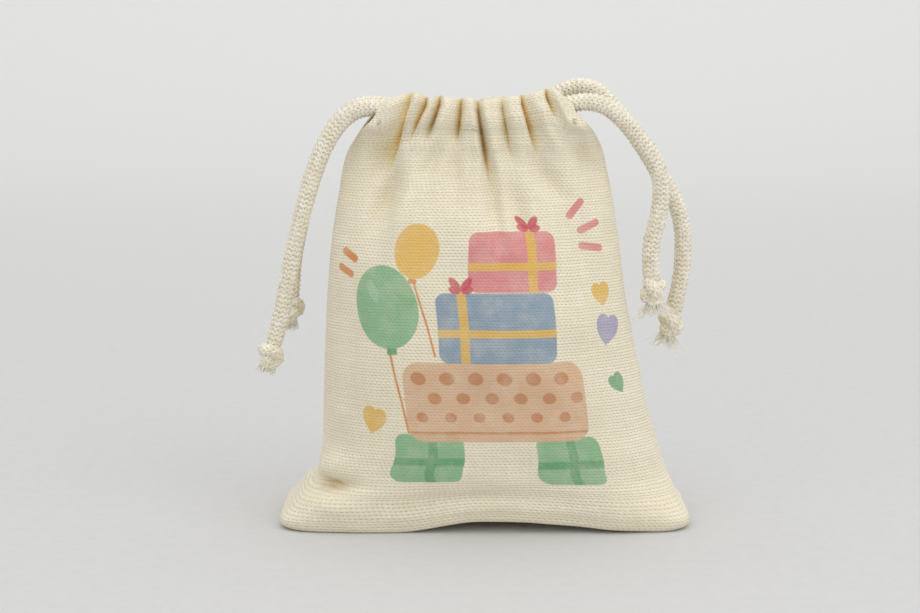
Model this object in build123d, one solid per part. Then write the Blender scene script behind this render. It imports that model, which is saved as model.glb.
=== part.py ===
"""Cotton drawstring gift pouch, standing filled, with two braided cords.

Frame: +X to the right across the front, -Y out of the front, +Z up.
The origin is the middle of the base, on the surface that the pouch stands on.
All sizes are in millimetres.
"""

from build123d import *
import math
import os

os.makedirs("parts", exist_ok=True)

# ---- cloth and body -------------------------------------------------------
CLOTH = 0.8  # thickness of the canvas, with its crimp
HEIGHT = 116.0  # floor to the rim
BASE_WIDTH = 112.0
BASE_DEPTH = 40.0
FOOT_WIDTH = 103.0  # just above the base, where the corners turn in
FOOT_DEPTH = 46.0
BELLY_WIDTH = 90.0
BELLY_DEPTH = 56.0
CHEST_WIDTH = 82.0
CHEST_DEPTH = 54.0
SHOULDER_WIDTH = 77.0
SHOULDER_DEPTH = 43.0
NECK_WIDTH = 72.0
NECK_DEPTH = 26.0
RIM_WIDTH = 50.0
LEAN = -3.0  # how far the rim's middle sits from the middle of the base

# ---- drawstring channels --------------------------------------------------
CORD_DIAMETER = 4.5
CORD_CLEARANCE = 0.3  # between a cord and the channel around it, all round
LANE_GAP = 0.5  # between the two cords that share a channel
CHANNEL_HEIGHT = 15.0
MOUTH_GAP = 8.4  # between the front and the back channel
BODY_CLEARANCE = 0.3  # between pieces that move apart
SLIT_DEPTH = 7.0  # slit at each channel's end, where a cord turns across

# ---- seams and stitching --------------------------------------------------
SEAM_ALLOWANCE = 6.0
STITCH_LENGTH = 2.4
STITCH_PITCH = 3.6
STITCH_WIDTH = 0.5
STITCH_HEIGHT = 0.25
SEAM_LINE = 3.0  # from the cloth's wall to the row of stitches
STITCH_RISE = 1.6  # from a channel's lower edge to its row of stitches
TACK_WIDTH = 1.2
TACK_HEIGHT = 3.4
TACK_INSET = 1.8  # from a channel's sloping end to the middle of its tack

# ---- cord ends ------------------------------------------------------------
RUN_LENGTH = 24.0  # straight length of each cord end inside its channel
KNOT_DIAMETER = 8.2
KNOT_LENGTH = 7.6
TUFT_DIAMETER = 10.0
TUFT_LENGTH = 4.6
CORNER_SHARE = 0.45  # share of the shorter run that each bend takes

# Routes of the four cord ends: (x, z) from inside the channel's mouth down
# to the knot. Each lies in the plane of its channel.
ROUTES = {
    "left_front": [
        (-28.0, 112.6), (-33.0, 112.6), (-37.3, 110.6), (-40.6, 106.6), (-44.0, 99.6), (-47.7, 89.0),
        (-51.0, 76.8), (-53.6, 64.4), (-55.4, 55.6), (-57.2, 50.4),
    ],
    "left_back": [
        (-28.0, 112.6), (-33.2, 112.6), (-37.9, 110.6), (-41.7, 106.2), (-45.4, 98.8), (-49.0, 89.0),
        (-52.0, 78.0), (-53.8, 67.8), (-54.8, 58.6),
    ],
    "right_front": [
        (22.0, 112.6), (27.6, 112.6), (32.9, 110.8), (37.2, 106.4), (41.6, 100.2), (45.2, 92.8),
        (47.0, 85.4), (45.9, 77.4), (44.5, 71.0), (45.4, 64.9),
    ],
    "right_back": [
        (22.0, 112.6), (27.9, 112.6), (33.6, 110.6), (38.3, 105.8), (43.2, 99.6), (48.2, 92.4),
        (52.4, 84.6), (54.8, 76.0), (54.6, 67.0), (54.0, 59.6), (54.4, 55.4),
    ],
}

# ---- derived places -------------------------------------------------------
CHANNEL_BOTTOM = HEIGHT - CHANNEL_HEIGHT
BODY_TOP = CHANNEL_BOTTOM - BODY_CLEARANCE
LANE_RADIUS = CORD_DIAMETER / 2 + CORD_CLEARANCE
CHANNEL_DEPTH = 2 * (LANE_RADIUS + CLOTH)
CHANNEL_INNER_Y = -MOUTH_GAP / 2
CHANNEL_OUTER_Y = CHANNEL_INNER_Y - CHANNEL_DEPTH
LANE_Y = CHANNEL_INNER_Y - CHANNEL_DEPTH / 2
UPPER_LANE_Z = HEIGHT - CLOTH - LANE_RADIUS
LOWER_LANE_Z = UPPER_LANE_Z - CORD_DIAMETER - LANE_GAP
TUNNEL_BOTTOM = LOWER_LANE_Z - LANE_RADIUS
HEM_THICKNESS = 2 * CLOTH  # the channel's folded cloth below its tunnel
SEAM_THICKNESS = 2 * CLOTH  # the two allowances that lie together in a seam
SLIT_LENGTH = 2 * CLOTH  # across the channel's inner wall, with room to cut clean
CORE_DEPTH = 2 * SEAM_THICKNESS  # deeper than the seams that it trims
CUTTER_WIDTH = 2 * BASE_WIDTH  # wider than any piece of the pouch
ROW_WIDTH = NECK_WIDTH - 4 * TACK_WIDTH - 2 * STITCH_LENGTH  # between a channel's two tacks

# Body sections from the base to the neck: (share of the height, width, depth).
SECTIONS = [
    (0.0, BASE_WIDTH, BASE_DEPTH),
    (0.08, FOOT_WIDTH, FOOT_DEPTH),
    (0.35, BELLY_WIDTH, BELLY_DEPTH),
    (0.62, CHEST_WIDTH, CHEST_DEPTH),
    (0.86, SHOULDER_WIDTH, SHOULDER_DEPTH),
    (1.0, NECK_WIDTH, NECK_DEPTH),
]


def mirrored(shape):
    """The back copy of a front piece, solid by solid."""
    copies = [solid.mirror(Plane.XZ) for solid in shape.solids()]
    return copies[0] if len(copies) == 1 else Compound(copies)


def half_section(x, z, half_width, half_depth):
    """Front half of an oval at height z."""
    oval = EllipticalCenterArc((x, 0, z), half_width, half_depth, start_angle=180, arc_size=180)
    return make_face([oval, Line(oval @ 1, oval @ 0)])


def body_space(inset, bottom):
    """Front half of the body's space, inset from the outside and starting at height bottom."""
    faces = []
    for share, width, depth in SECTIONS:
        z = max(share * BODY_TOP, bottom)
        faces.append(half_section(LEAN * share, z, width / 2 - inset, depth / 2 - inset))
    return loft(faces)


def front_panel(inside):
    return body_space(0, 0) - inside


def slab(thickness, z_low, z_high):
    """Flat block along the side seams' plane."""
    height = z_high - z_low
    return Pos(0, 0, z_low + height / 2) * Box(CUTTER_WIDTH, thickness, height)


def seam_core():
    """Space between the two side seams' allowances."""
    faces = []
    for share, width, depth in SECTIONS:
        centre = Pos(LEAN * share, 0, share * BODY_TOP)
        faces.append(centre * Rectangle(width - 2 * (CLOTH + SEAM_ALLOWANCE), CORE_DEPTH))
    return loft(faces, ruled=True)


def seams(inside):
    """Left, right and bottom allowances, standing inwards from the cloth."""
    whole = inside + mirrored(inside)
    bottom_top = CLOTH + SEAM_ALLOWANCE
    bottom = whole & slab(SEAM_THICKNESS, CLOTH, bottom_top)
    sides = (whole & slab(SEAM_THICKNESS, bottom_top, BODY_TOP)) - seam_core()
    left, right = sorted(sides.solids(), key=lambda solid: solid.center().X)
    return left, right, bottom.solid()


def edge_x(share, side):
    """X of the cloth's outer edge on a side (-1 left, 1 right), between its two nearest sections."""
    for lower, upper in zip(SECTIONS, SECTIONS[1:]):
        if share <= upper[0]:
            part = (share - lower[0]) / (upper[0] - lower[0])
            width = lower[1] + part * (upper[1] - lower[1])
            return LEAN * share + side * width / 2
    return LEAN + side * SECTIONS[-1][1] / 2


def stitch(x, z, face_y, angle):
    """One stitch lying on a cloth face whose normal is -Y, turned by angle from the X direction."""
    block = Box(STITCH_LENGTH, STITCH_HEIGHT, STITCH_WIDTH)
    return Pos(x, face_y - STITCH_HEIGHT / 2, z) * Rot(0, angle, 0) * block


def side_stitches(side):
    """Row of stitches down a side seam, on the allowance's front face."""
    low = CLOTH + SEAM_ALLOWANCE + STITCH_LENGTH
    count = int((BODY_TOP - STITCH_LENGTH - low) / STITCH_PITCH)
    row = []
    for index in range(count):
        z = low + index * STITCH_PITCH
        x = edge_x(z / BODY_TOP, side) - side * (CLOTH + SEAM_LINE)
        row.append(stitch(x, z, -SEAM_THICKNESS / 2, 90))
    return Compound(row)


def bottom_stitches():
    """Row of stitches along the bottom seam."""
    length = FOOT_WIDTH - 2 * (CLOTH + SEAM_ALLOWANCE)
    count = int(length / STITCH_PITCH)
    row = []
    for index in range(count):
        x = (index - (count - 1) / 2) * STITCH_PITCH
        row.append(stitch(x, CLOTH + SEAM_LINE, -SEAM_THICKNESS / 2, 0))
    return Compound(row)


def channel_edge(z, side):
    """X of a channel's sloping end at height z."""
    share = (z - CHANNEL_BOTTOM) / CHANNEL_HEIGHT
    half_width = (NECK_WIDTH + share * (RIM_WIDTH - NECK_WIDTH)) / 2
    return LEAN + side * half_width


def front_channel():
    """Folded hem of the front panel: a tunnel for two cords above a flat, stitched edge."""
    corners = []
    for side, z in ((-1, CHANNEL_BOTTOM), (1, CHANNEL_BOTTOM), (1, HEIGHT), (-1, HEIGHT)):
        corners.append((channel_edge(z, side), CHANNEL_INNER_Y, z))
    block = extrude(make_face(Polyline(*corners, close=True)), CHANNEL_DEPTH, dir=(0, -1, 0))
    tunnel_height = HEIGHT - CLOTH - TUNNEL_BOTTOM
    tunnel = Box(CUTTER_WIDTH, 2 * LANE_RADIUS, tunnel_height)
    tunnel = Pos(0, LANE_Y, TUNNEL_BOTTOM + tunnel_height / 2) * tunnel
    hem_top = TUNNEL_BOTTOM - CLOTH
    cut_depth = CHANNEL_DEPTH - HEM_THICKNESS
    below = Box(CUTTER_WIDTH, cut_depth, hem_top - CHANNEL_BOTTOM)
    below = Pos(0, CHANNEL_INNER_Y - cut_depth / 2, (CHANNEL_BOTTOM + hem_top) / 2) * below
    channel = block - tunnel - below
    for side in (-1, 1):
        slit_x = channel_edge(LOWER_LANE_Z, side) - side * SLIT_DEPTH
        slit = Box(CUTTER_WIDTH, SLIT_LENGTH, 2 * LANE_RADIUS)
        offset = side * CUTTER_WIDTH / 2
        channel -= Pos(slit_x + offset, CHANNEL_INNER_Y, LOWER_LANE_Z) * slit
    return channel.solid()


def channel_stitches():
    """Row of stitches along the front channel's lower edge."""
    count = int(ROW_WIDTH / STITCH_PITCH)
    z = CHANNEL_BOTTOM + STITCH_RISE
    row = []
    for index in range(count):
        x = LEAN + (index - (count - 1) / 2) * STITCH_PITCH
        row.append(stitch(x, z, CHANNEL_OUTER_Y, 0))
    return Compound(row)


def channel_tack(side):
    """Bar tack that closes the hem beside a cord exit."""
    z = CHANNEL_BOTTOM + TACK_HEIGHT / 2 + CLOTH / 2
    x = channel_edge(z + TACK_HEIGHT / 2, side) - side * TACK_INSET
    block = Box(TACK_WIDTH, STITCH_HEIGHT, TACK_HEIGHT)
    return Pos(x, CHANNEL_OUTER_Y - STITCH_HEIGHT / 2, z) * block


def bend_radii(points):
    """Largest radius for each corner of a route, from its shorter run and its turn."""
    radii = []
    for before, corner, after in zip(points, points[1:], points[2:]):
        run_in = corner - before
        run_out = after - corner
        turn = math.radians(run_in.get_angle(run_out))
        shorter = min(run_in.length, run_out.length)
        radii.append(CORNER_SHARE * shorter / math.tan(turn / 2))
    return radii


def cord(points):
    """Round cord along straight runs joined by tangent arcs."""
    path = FilletPolyline(*points, radius=bend_radii(points))
    start = Plane(origin=path @ 0, z_dir=path % 0)
    return sweep(start * Circle(CORD_DIAMETER / 2), path=path.wire())


def knot_and_tuft(points):
    """Knot and frayed end that carry on from a route's last run."""
    along = (points[-1] - points[-2]).normalized()
    top = Plane(origin=points[-1], z_dir=along)
    upright = (Align.CENTER, Align.CENTER, Align.MIN)
    knot = Cylinder(KNOT_DIAMETER / 2, KNOT_LENGTH, align=upright)
    knot = fillet(knot.edges().filter_by(GeomType.CIRCLE), (KNOT_DIAMETER - CORD_DIAMETER) / 2)
    tuft = Cone(CORD_DIAMETER / 2, TUFT_DIAMETER / 2, TUFT_LENGTH, align=upright)
    return top * knot, top * Pos(0, 0, KNOT_LENGTH) * tuft


def cord_run(points):
    """Straight end of a cord inside its channel, up to the start of its tail."""
    inward = points[0] - points[1]
    direction = Vector(math.copysign(1, inward.X), 0, 0)
    start = points[0] + direction * BODY_CLEARANCE
    shape = Cylinder(CORD_DIAMETER / 2, RUN_LENGTH, align=(Align.CENTER, Align.CENTER, Align.MIN))
    return Plane(origin=start, z_dir=direction) * shape


def loop_half(side):
    """Front half of the loop that a cord makes around one side, in the channel's lower lane."""
    reach = channel_edge(LOWER_LANE_Z, side)
    start = LEAN + side * CORD_DIAMETER
    points = [
        Vector(start, LANE_Y, LOWER_LANE_Z),
        Vector(reach, LANE_Y, LOWER_LANE_Z),
        Vector(reach, -BODY_CLEARANCE / 2, LOWER_LANE_Z),
    ]
    radius = -LANE_Y - BODY_CLEARANCE
    path = FilletPolyline(*points, radius=radius)
    print(f"{'left' if side > 0 else 'right'} cord loop radius {radius:.1f}")
    plane = Plane(origin=path @ 0, z_dir=path % 0)
    return sweep(plane * Circle(CORD_DIAMETER / 2), path=path.wire())


def build():
    """Every node of the pouch, by name."""
    inside = body_space(CLOTH, CLOTH)
    nodes = {"front_panel": front_panel(inside)}
    nodes["back_panel"] = mirrored(nodes["front_panel"])
    left_seam, right_seam, bottom_seam = seams(inside)
    nodes["left_side_seam"] = left_seam
    nodes["right_side_seam"] = right_seam
    nodes["bottom_seam"] = bottom_seam
    nodes["left_seam_stitches"] = side_stitches(-1)
    nodes["right_seam_stitches"] = side_stitches(1)
    nodes["bottom_seam_stitches"] = bottom_stitches()

    channel = front_channel()
    rows = channel_stitches()
    nodes["front_channel"] = channel
    nodes["back_channel"] = mirrored(channel)
    nodes["front_channel_stitches"] = rows
    nodes["back_channel_stitches"] = mirrored(rows)
    for name, side in (("left", -1), ("right", 1)):
        tack = channel_tack(side)
        nodes[f"front_{name}_tack"] = tack
        nodes[f"back_{name}_tack"] = mirrored(tack)

    for name, side in (("left", 1), ("right", -1)):
        half = loop_half(side)
        nodes[f"{name}_cord_front_loop"] = half
        nodes[f"{name}_cord_back_loop"] = mirrored(half)

    for end, route in ROUTES.items():
        y = LANE_Y if end.endswith("front") else -LANE_Y
        lift = UPPER_LANE_Z - route[0][1]
        points = [Vector(x, y, z + lift) for x, z in route]
        print(end, "radii", " ".join(f"{radius:.1f}" for radius in bend_radii(points)))
        nodes[f"{end}_run"] = cord_run(points)
        nodes[f"{end}_tail"] = cord(points)
        nodes[f"{end}_knot"], nodes[f"{end}_tuft"] = knot_and_tuft(points)
    return nodes


for node, shape in build().items():
    export_step(shape, f"parts/{node}.step")
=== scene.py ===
import math
from collections import namedtuple

import bpy
import numpy as np
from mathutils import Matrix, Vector


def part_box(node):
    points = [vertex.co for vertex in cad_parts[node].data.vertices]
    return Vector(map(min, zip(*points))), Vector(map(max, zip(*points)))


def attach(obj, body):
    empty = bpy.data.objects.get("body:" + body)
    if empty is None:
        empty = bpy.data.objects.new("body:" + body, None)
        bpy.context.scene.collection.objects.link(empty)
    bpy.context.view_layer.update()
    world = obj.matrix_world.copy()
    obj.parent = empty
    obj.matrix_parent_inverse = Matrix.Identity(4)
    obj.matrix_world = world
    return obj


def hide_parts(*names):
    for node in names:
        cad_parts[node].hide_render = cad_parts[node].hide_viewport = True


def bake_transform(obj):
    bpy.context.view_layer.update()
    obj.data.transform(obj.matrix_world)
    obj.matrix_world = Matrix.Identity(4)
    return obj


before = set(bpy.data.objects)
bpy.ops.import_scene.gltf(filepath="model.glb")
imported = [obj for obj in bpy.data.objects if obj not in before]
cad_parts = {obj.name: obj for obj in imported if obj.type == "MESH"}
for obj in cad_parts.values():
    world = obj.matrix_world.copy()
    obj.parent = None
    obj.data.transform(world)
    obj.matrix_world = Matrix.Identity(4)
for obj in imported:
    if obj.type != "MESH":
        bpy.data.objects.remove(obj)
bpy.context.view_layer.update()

bl_info = {
    "name": "Drawstring gift pouch",
    "version": (1, 0, 0),
    "blender": (4, 5, 0),
    "location": "3D View > Sidebar > Pouch",
    "description": "Builds a filled cotton drawstring pouch around its packed frame",
    "category": "Add Mesh",
}

# ---- the frame's own places ------------------------------------------------
CHANNEL_LOW, CHANNEL_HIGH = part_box("front_channel")
RIM = 116.0  # height of the rim, in drawn millimetres
MM = CHANNEL_HIGH[2] / RIM  # one drawn millimetre, in metres
HEM = CHANNEL_LOW[2] / MM  # height of the channels' lower edge
LANE = abs(CHANNEL_LOW[1] + CHANNEL_HIGH[1]) / 2 / MM  # from the middle to the cords' lane

# ---- outline of the filled cloth, in drawn millimetres (height, place) ------
LEFT_EDGE = [
    (0, -54.4), (1.8, -56.0), (5, -53.6), (8, -51.4), (9.8, -50.0), (11.4, -47.4), (14, -46.0), (18, -45.2),
    (22, -44.5), (30, -44.2), (46, -43.6), (63, -42.8), (79, -41.4), (90, -39.8), (97, -38.6), (101, -37.3),
    (105, -35.0), (109, -32.4), (112, -30.0), (116, -27.8),
]
RIGHT_EDGE = [
    (0, 54.6), (1.8, 56.0), (6, 53.8), (12.5, 51.0), (20, 48.2), (30, 45.2), (46, 41.6), (63, 38.2),
    (79, 36.2), (90, 34.6), (97, 33.2), (101, 32.2), (105, 30.4), (109, 27.8), (112, 25.2), (116, 22.0),
]
DEPTH = [
    (0, 20.8), (2.5, 22.4), (8, 23.4), (25, 25.6), (45, 27.2), (65, 26.2), (80, 22.8), (92, 17.7),
    (100, 14.6), (106, 13.4), (112, 12.7), (116, 9.8),
]
SQUARENESS = [(0, 8.0), (4, 6.4), (12, 3.4), (22, 2.6), (40, 2.35), (70, 2.2), (100, 2.3), (116, 3.0)]
SEAM_LEAN = [(0, 0.0), (8, 0.0), (26, 3.6), (60, 4.2), (84, 3.2), (97, 0.0), (116, 0.0)]
SLIT_START, SLIT_END, SLIT_OPEN = 101.5, 110.5, 9.8


def curve(points, x):
    """Smooth curve through a few (x, y) points."""
    xs = np.array([p[0] for p in points], float)
    ys = np.array([p[1] for p in points], float)
    slopes = np.gradient(ys, xs)
    x = np.clip(x, xs[0], xs[-1])
    i = np.clip(np.searchsorted(xs, x, side="right") - 1, 0, len(xs) - 2)
    h = xs[i + 1] - xs[i]
    t = (x - xs[i]) / h
    return (
        (1 + 2 * t) * (1 - t) ** 2 * ys[i]
        + t * (1 - t) ** 2 * h * slopes[i]
        + t * t * (3 - 2 * t) * ys[i + 1]
        + t * t * (t - 1) * h * slopes[i + 1]
    )


def ramp(low, high, x):
    """0 below low, 1 above high, smooth between."""
    t = np.clip((x - low) / (high - low), 0, 1)
    return t * t * (3 - 2 * t)


# Pleats: x at the rim, x and height where the valley ends, depth, half-width at the rim, and how far the
# valley leans: above 0 it is steep on the right, below 0 steep on the left.
FRONT_PLEATS = [
    (-19.4, -25.0, 101.0, 3.6, 1.20, 0.9),
    (-14.9, -18.8, 107.0, 4.2, 0.66, 0.7),
    (-11.3, -14.6, 107.5, 4.2, 0.66, 0.7),
    (-6.2, -7.2, 106.5, 4.2, 0.80, 0.5),
    (-2.2, 0.2, 99.5, 4.9, 0.62, -0.2),
    (4.3, 6.5, 103.0, 3.2, 0.80, 0.2),
    (9.2, 12.6, 104.5, 4.2, 0.74, -0.9),
    (15.4, 18.0, 110.5, 3.8, 0.66, -0.5),
]
BACK_PLEATS = [
    (-22.0, -26.8, 102.0, 3.2, 0.95, 0.6),
    (-16.6, -19.8, 107.0, 3.8, 0.80, 0.0),
    (-10.8, -12.2, 101.0, 4.2, 0.85, -0.5),
    (-6.0, -6.6, 107.5, 3.4, 0.80, 0.3),
    (-0.8, -0.2, 99.0, 4.6, 0.80, 0.0),
    (4.8, 6.0, 105.0, 3.8, 0.80, 0.6),
    (10.2, 13.4, 102.0, 4.2, 0.85, -0.6),
    (15.8, 19.6, 107.5, 3.4, 0.80, -0.3),
]
# Soft hollows and swells: x, height, reach across, reach up, turn in degrees, depth (negative swells).
FRONT_DENTS = [
    (-28.5, 101.0, 3.4, 5.5, -30, 3.2),
    (-26.6, 90.5, 2.6, 9.0, -20, 4.0),
    (-20.8, 88.0, 2.4, 11.0, -20, -2.2),
    (2.2, 88.0, 2.2, 9.0, 8, 3.4),
    (8.6, 86.0, 2.6, 10.0, 16, 2.4),
    (16.5, 95.0, 2.6, 7.0, 36, 3.2),
    (-8.4, 97.0, 2.2, 6.0, -4, 2.2),
    (-15.0, 98.0, 2.0, 6.0, -34, 2.0),
    (27.0, 100.0, 2.4, 6.0, 34, 3.0),
    (24.0, 80.0, 3.0, 12.0, 22, 1.2),
    (-44.0, 12.2, 7.4, 1.5, 5, 5.4),
    (-42.0, 17.2, 6.5, 3.2, 6, -2.0),
    (-42.0, 7.6, 7.0, 2.4, -6, -1.2),
    (-36.0, 60.0, 3.0, 26.0, -3, 0.7),
    (29.0, 64.0, 3.6, 24.0, 8, 0.6),
    (-2.0, 9.0, 26.0, 4.0, 0, 1.1),
    (42.0, 14.0, 5.0, 9.0, 24, 0.9),
]
BACK_DENTS = [
    (-27.0, 96.0, 3.4, 8.0, -22, 2.2),
    (0.0, 84.0, 3.0, 11.0, 0, 1.6),
    (-12.0, 90.0, 2.8, 8.0, -10, 1.4),
    (13.0, 88.0, 3.0, 9.0, 14, 1.5),
    (42.0, 13.0, 7.5, 2.0, 8, 2.6),
    (41.0, 17.0, 7.0, 3.0, 8, -1.2),
    (30.0, 60.0, 3.6, 24.0, 5, 0.7),
    (-30.0, 50.0, 3.6, 26.0, -5, 0.7),
]
Sheet = namedtuple("Sheet", "face side pleats dents seed")
SHEETS = (
    Sheet("front", -1, FRONT_PLEATS, FRONT_DENTS, 11),
    Sheet("back", 1, BACK_PLEATS, BACK_DENTS, 12),
)
CREST = 2.6  # half-widths from the bottom of a valley to the top of the rounded fold beside it
CHANNEL_VALLEY = 4.3  # deepest a valley may cut where the cords run behind the cloth
WIDER, NARROWER = 0.9, 0.45  # what a leaning pleat gains on one flank and loses on the other
SWELL = 0.30  # height of the swell on each side of a valley, as a share of the valley's depth
SWELL_AT, SWELL_HALF = 2.3, 1.4  # a swell's place and reach, in half-widths
RIPPLES, RIPPLE_HEIGHT = 26, 0.0056  # slow ripples all over the cloth, and their height over their length


def flank(lean):
    """How wide a pleat's left flank is for its lean; the right flank has the opposite lean."""
    return 1 + WIDER * max(lean, 0) - NARROWER * max(-lean, 0)


def relief(x, z, sheet):
    """How far the cloth stands out from its plain outline, in millimetres, and how deep it is creased, which
    sets the painted shade in its valleys and hollows.
    """
    out = np.zeros_like(x)
    crease_shade = np.zeros_like(x)
    for top, low, end, depth, half, lean in sheet.pleats:
        share = (RIM - z) / (RIM - end)
        centre = top + (low - top) * share ** 1.15
        width = half * (1 + 0.55 * max(share, 0) + 1.4 * max(share - 0.9, 0) ** 1.4)
        strength = depth * (1 - ramp(0.65, 1.6, share)) * (0.8 + 0.2 * ramp(0.0, 0.3, share))
        strength = min(strength, CHANNEL_VALLEY + 2.0 * (1 - ramp(98.0, 105.0, z)))
        u = (x - centre) / width
        left, right = flank(lean), flank(-lean)
        v = np.abs(u / np.where(u < 0, left, right))
        crest = 1 - np.clip(v / CREST, 0, 1)
        valley = strength * (0.55 * (1 - np.sqrt(1 - crest ** 2)) + 0.45 * np.exp(-v ** 1.6))
        out -= valley
        for place in (-SWELL_AT * left, SWELL_AT * right):
            out += SWELL * strength * np.exp(-((u - place) / SWELL_HALF) ** 2)
        crease_shade += valley
    for cx, cz, reach_x, reach_z, turn, depth in sheet.dents:
        a = math.radians(turn)
        across = (x - cx) * math.cos(a) + (z - cz) * math.sin(a)
        along = -(x - cx) * math.sin(a) + (z - cz) * math.cos(a)
        hollow = depth * np.exp(-((across / reach_x) ** 2) - (along / reach_z) ** 2)
        out -= hollow
        # a hollow also takes a share of the painted shade
        crease_shade += 0.40 * np.maximum(hollow, 0)
    rng = np.random.default_rng(sheet.seed)
    for _ in range(RIPPLES):
        length = rng.uniform(13, 44)
        angle = rng.uniform(0, math.pi)
        phase = rng.uniform(0, 2 * math.pi)
        size = RIPPLE_HEIGHT * length * rng.uniform(0.5, 1.0)
        out += size * np.sin(2 * math.pi * (x * math.cos(angle) + z * math.sin(angle)) / length + phase)
    return out, crease_shade


FINE = 1400  # samples along a section before it is divided evenly
COLUMNS = 256
BASE_CLEAR = 0.15  # height of the flat underside
BASE_INSET = 0.958  # share of the base that lies flat, inside its rolled edge
BASE_OUTLINE = 2.2  # height whose section gives the base its outline
BASE_ROLL = ((BASE_CLEAR, BASE_INSET + 0.006), (0.45, 0.978), (1.2, 0.995))  # height, share of the outline
BASE_LIFT = {-1: 3.1, 1: 1.55}  # how far the middle of the base's edge is off the floor, front and back
RIM_ROLL = 2.2  # height of the rounded rim
CHANNEL_BACK = 4.7  # from the middle to the inner wall of a channel
CHANNEL_ROW = 0.8  # between two rows of the inner wall
ROWS = ((2.4, 22.0, 0.9), (22.0, 84.0, 1.5), (84.0, RIM - RIM_ROLL, 0.52))  # from, to, apart
GROOVE = 1.5  # half-width of the groove along a side seam


def section(z, sheet):
    """Plan outline of a sheet at height z, from left to right: x, y and crease shade, the depth that sets the
    painted shade.
    """
    left, right, depth = curve(LEFT_EDGE, z), curve(RIGHT_EDGE, z), curve(DEPTH, z)
    power = 2 / curve(SQUARENESS, z)
    start = SLIT_OPEN * ramp(SLIT_START, SLIT_END, z) - sheet.side * curve(SEAM_LEAN, z)
    angle = np.linspace(math.pi, 0, FINE)
    c, s = np.cos(angle), np.sin(angle)
    x = (left + right) / 2 + (right - left) / 2 * np.sign(c) * np.abs(c) ** power
    y = start + (depth - start) * np.abs(s) ** power
    groove = ramp(4, 20, z) * (1 - ramp(92, 102, z))
    x = x - np.sign(c) * groove * np.exp(-(((y - start) / GROOVE) ** 2))
    dx, dy = np.gradient(x), np.gradient(y)
    length = np.hypot(dx, dy) + 1e-9
    height, crease_shade = relief(x, z, sheet)
    edge = ramp(0, 3.2, np.minimum(x - left, right - x))
    height = height * edge
    return x - dy / length * height, sheet.side * (y + dx / length * height), crease_shade * edge


def lift(x, side):
    """How far the edge of the base is off the floor, in millimetres."""
    return BASE_LIFT[side] * ramp(-24, -1, x) * (1 - ramp(4, 50, x))


FRONT_RIM = [
    (-28, -1.8), (-24, 0.2), (-21, 0.9), (-18.5, 1.3), (-14.5, -0.2), (-12.5, 0.3), (-6.5, -0.5), (-4, 0.0),
    (-1.8, -1.1), (2, -0.3), (4.3, -0.6), (7, 0.3), (9.2, 0.4), (13, 1.3), (16.5, 2.2), (19.5, 1.6),
    (22, -1.0),
]


def rim_wave(x, side):
    """Rise and fall of the rim's top edge."""
    if side < 0:
        return curve(FRONT_RIM, x)
    return 0.5 * np.sin(x / 3.1) + 0.5 * np.sin(x / 5.7 + 1.0) - 1.3


def divide(x, y, extra):
    """The same line divided into equal lengths; returns x, y, extra."""
    along = np.concatenate([[0], np.cumsum(np.hypot(np.diff(x), np.diff(y)))])
    at = np.linspace(0, along[-1], COLUMNS + 1)
    return np.interp(at, along, x), np.interp(at, along, y), np.interp(at, along, extra)


def sheet_grid(sheet):
    """Grid of points (rows, columns, 3) in millimetres and the crease shade of each, the depth that sets the
    painted shade.
    """
    side, flat = sheet.side, np.zeros(COLUMNS + 1)
    rows, crease_shades = [], []

    def add_row(x, y, z, crease_shade=flat):
        rows.append(np.stack([x, y, z], 1))
        crease_shades.append(crease_shade)

    base_x, base_y, _ = divide(*section(BASE_OUTLINE, sheet))
    for share in np.linspace(0.02, 1, 20)[:-1]:
        x = base_x * BASE_INSET
        z = BASE_CLEAR + lift(x, side) * share ** 2 + 1.2 * (1 - share) ** 6
        add_row(x, base_y * share * BASE_INSET, z)
    for z, share in BASE_ROLL:
        x = base_x * share
        add_row(x, base_y * share, z + lift(x, side))
    for z in np.concatenate([np.arange(*span) for span in ROWS]):
        x, y, crease_shade = divide(*section(z, sheet))
        low = lift(x, side) * (1 - ramp(0, 16, z - 1.5))
        top = rim_wave(x, side) * ramp(RIM - 14, RIM - 2, z)
        add_row(x, y, z + low + top, crease_shade)
    x, outer_y, crease_shade = divide(*section(RIM - RIM_ROLL, sheet))
    half = np.clip((np.abs(outer_y) - CHANNEL_BACK) / 2, 1.0, 3.6)
    for turn in np.linspace(0, 180, 10)[1:]:
        a = math.radians(turn)
        z = RIM - RIM_ROLL + RIM_ROLL * math.sin(a) + rim_wave(x, side)
        add_row(x, outer_y - side * half * (1 - math.cos(a)), z, crease_shade * (1 - 0.5 * ramp(0, 180, turn)))
    x, y, z = rows[-1].T
    inner_y = side * CHANNEL_BACK + 0.35 * (y - y.mean())
    for drop in np.arange(CHANNEL_ROW, RIM - RIM_ROLL - HEM + CHANNEL_ROW / 2, CHANNEL_ROW):
        settle = ramp(0, 8, drop)
        add_row(x, y * (1 - settle) + inner_y * settle, z - drop, crease_shades[-1])
    return np.array(rows), np.array(crease_shades)


def new_object(name, verts, faces):
    mesh = bpy.data.meshes.new(name)
    mesh.from_pydata([tuple(v) for v in verts], [], [tuple(f) for f in faces])
    mesh.update()
    obj = bpy.data.objects.new(name, mesh)
    bpy.context.collection.objects.link(obj)
    return obj


def deselect():
    for obj in bpy.context.selected_objects:
        obj.select_set(False)


def pick(obj):
    deselect()
    obj.select_set(True)
    bpy.context.view_layer.objects.active = obj


def smooth_faces(obj):
    obj.data.polygons.foreach_set("use_smooth", [True] * len(obj.data.polygons))


def grid_faces(rows, columns, flip):
    index = np.arange(rows * columns).reshape(rows, columns)
    a, b = index[:-1, :-1].ravel(), index[:-1, 1:].ravel()
    c, d = index[1:, 1:].ravel(), index[1:, :-1].ravel()
    return np.stack([a, b, c, d] if flip else [d, c, b, a], 1)


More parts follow.
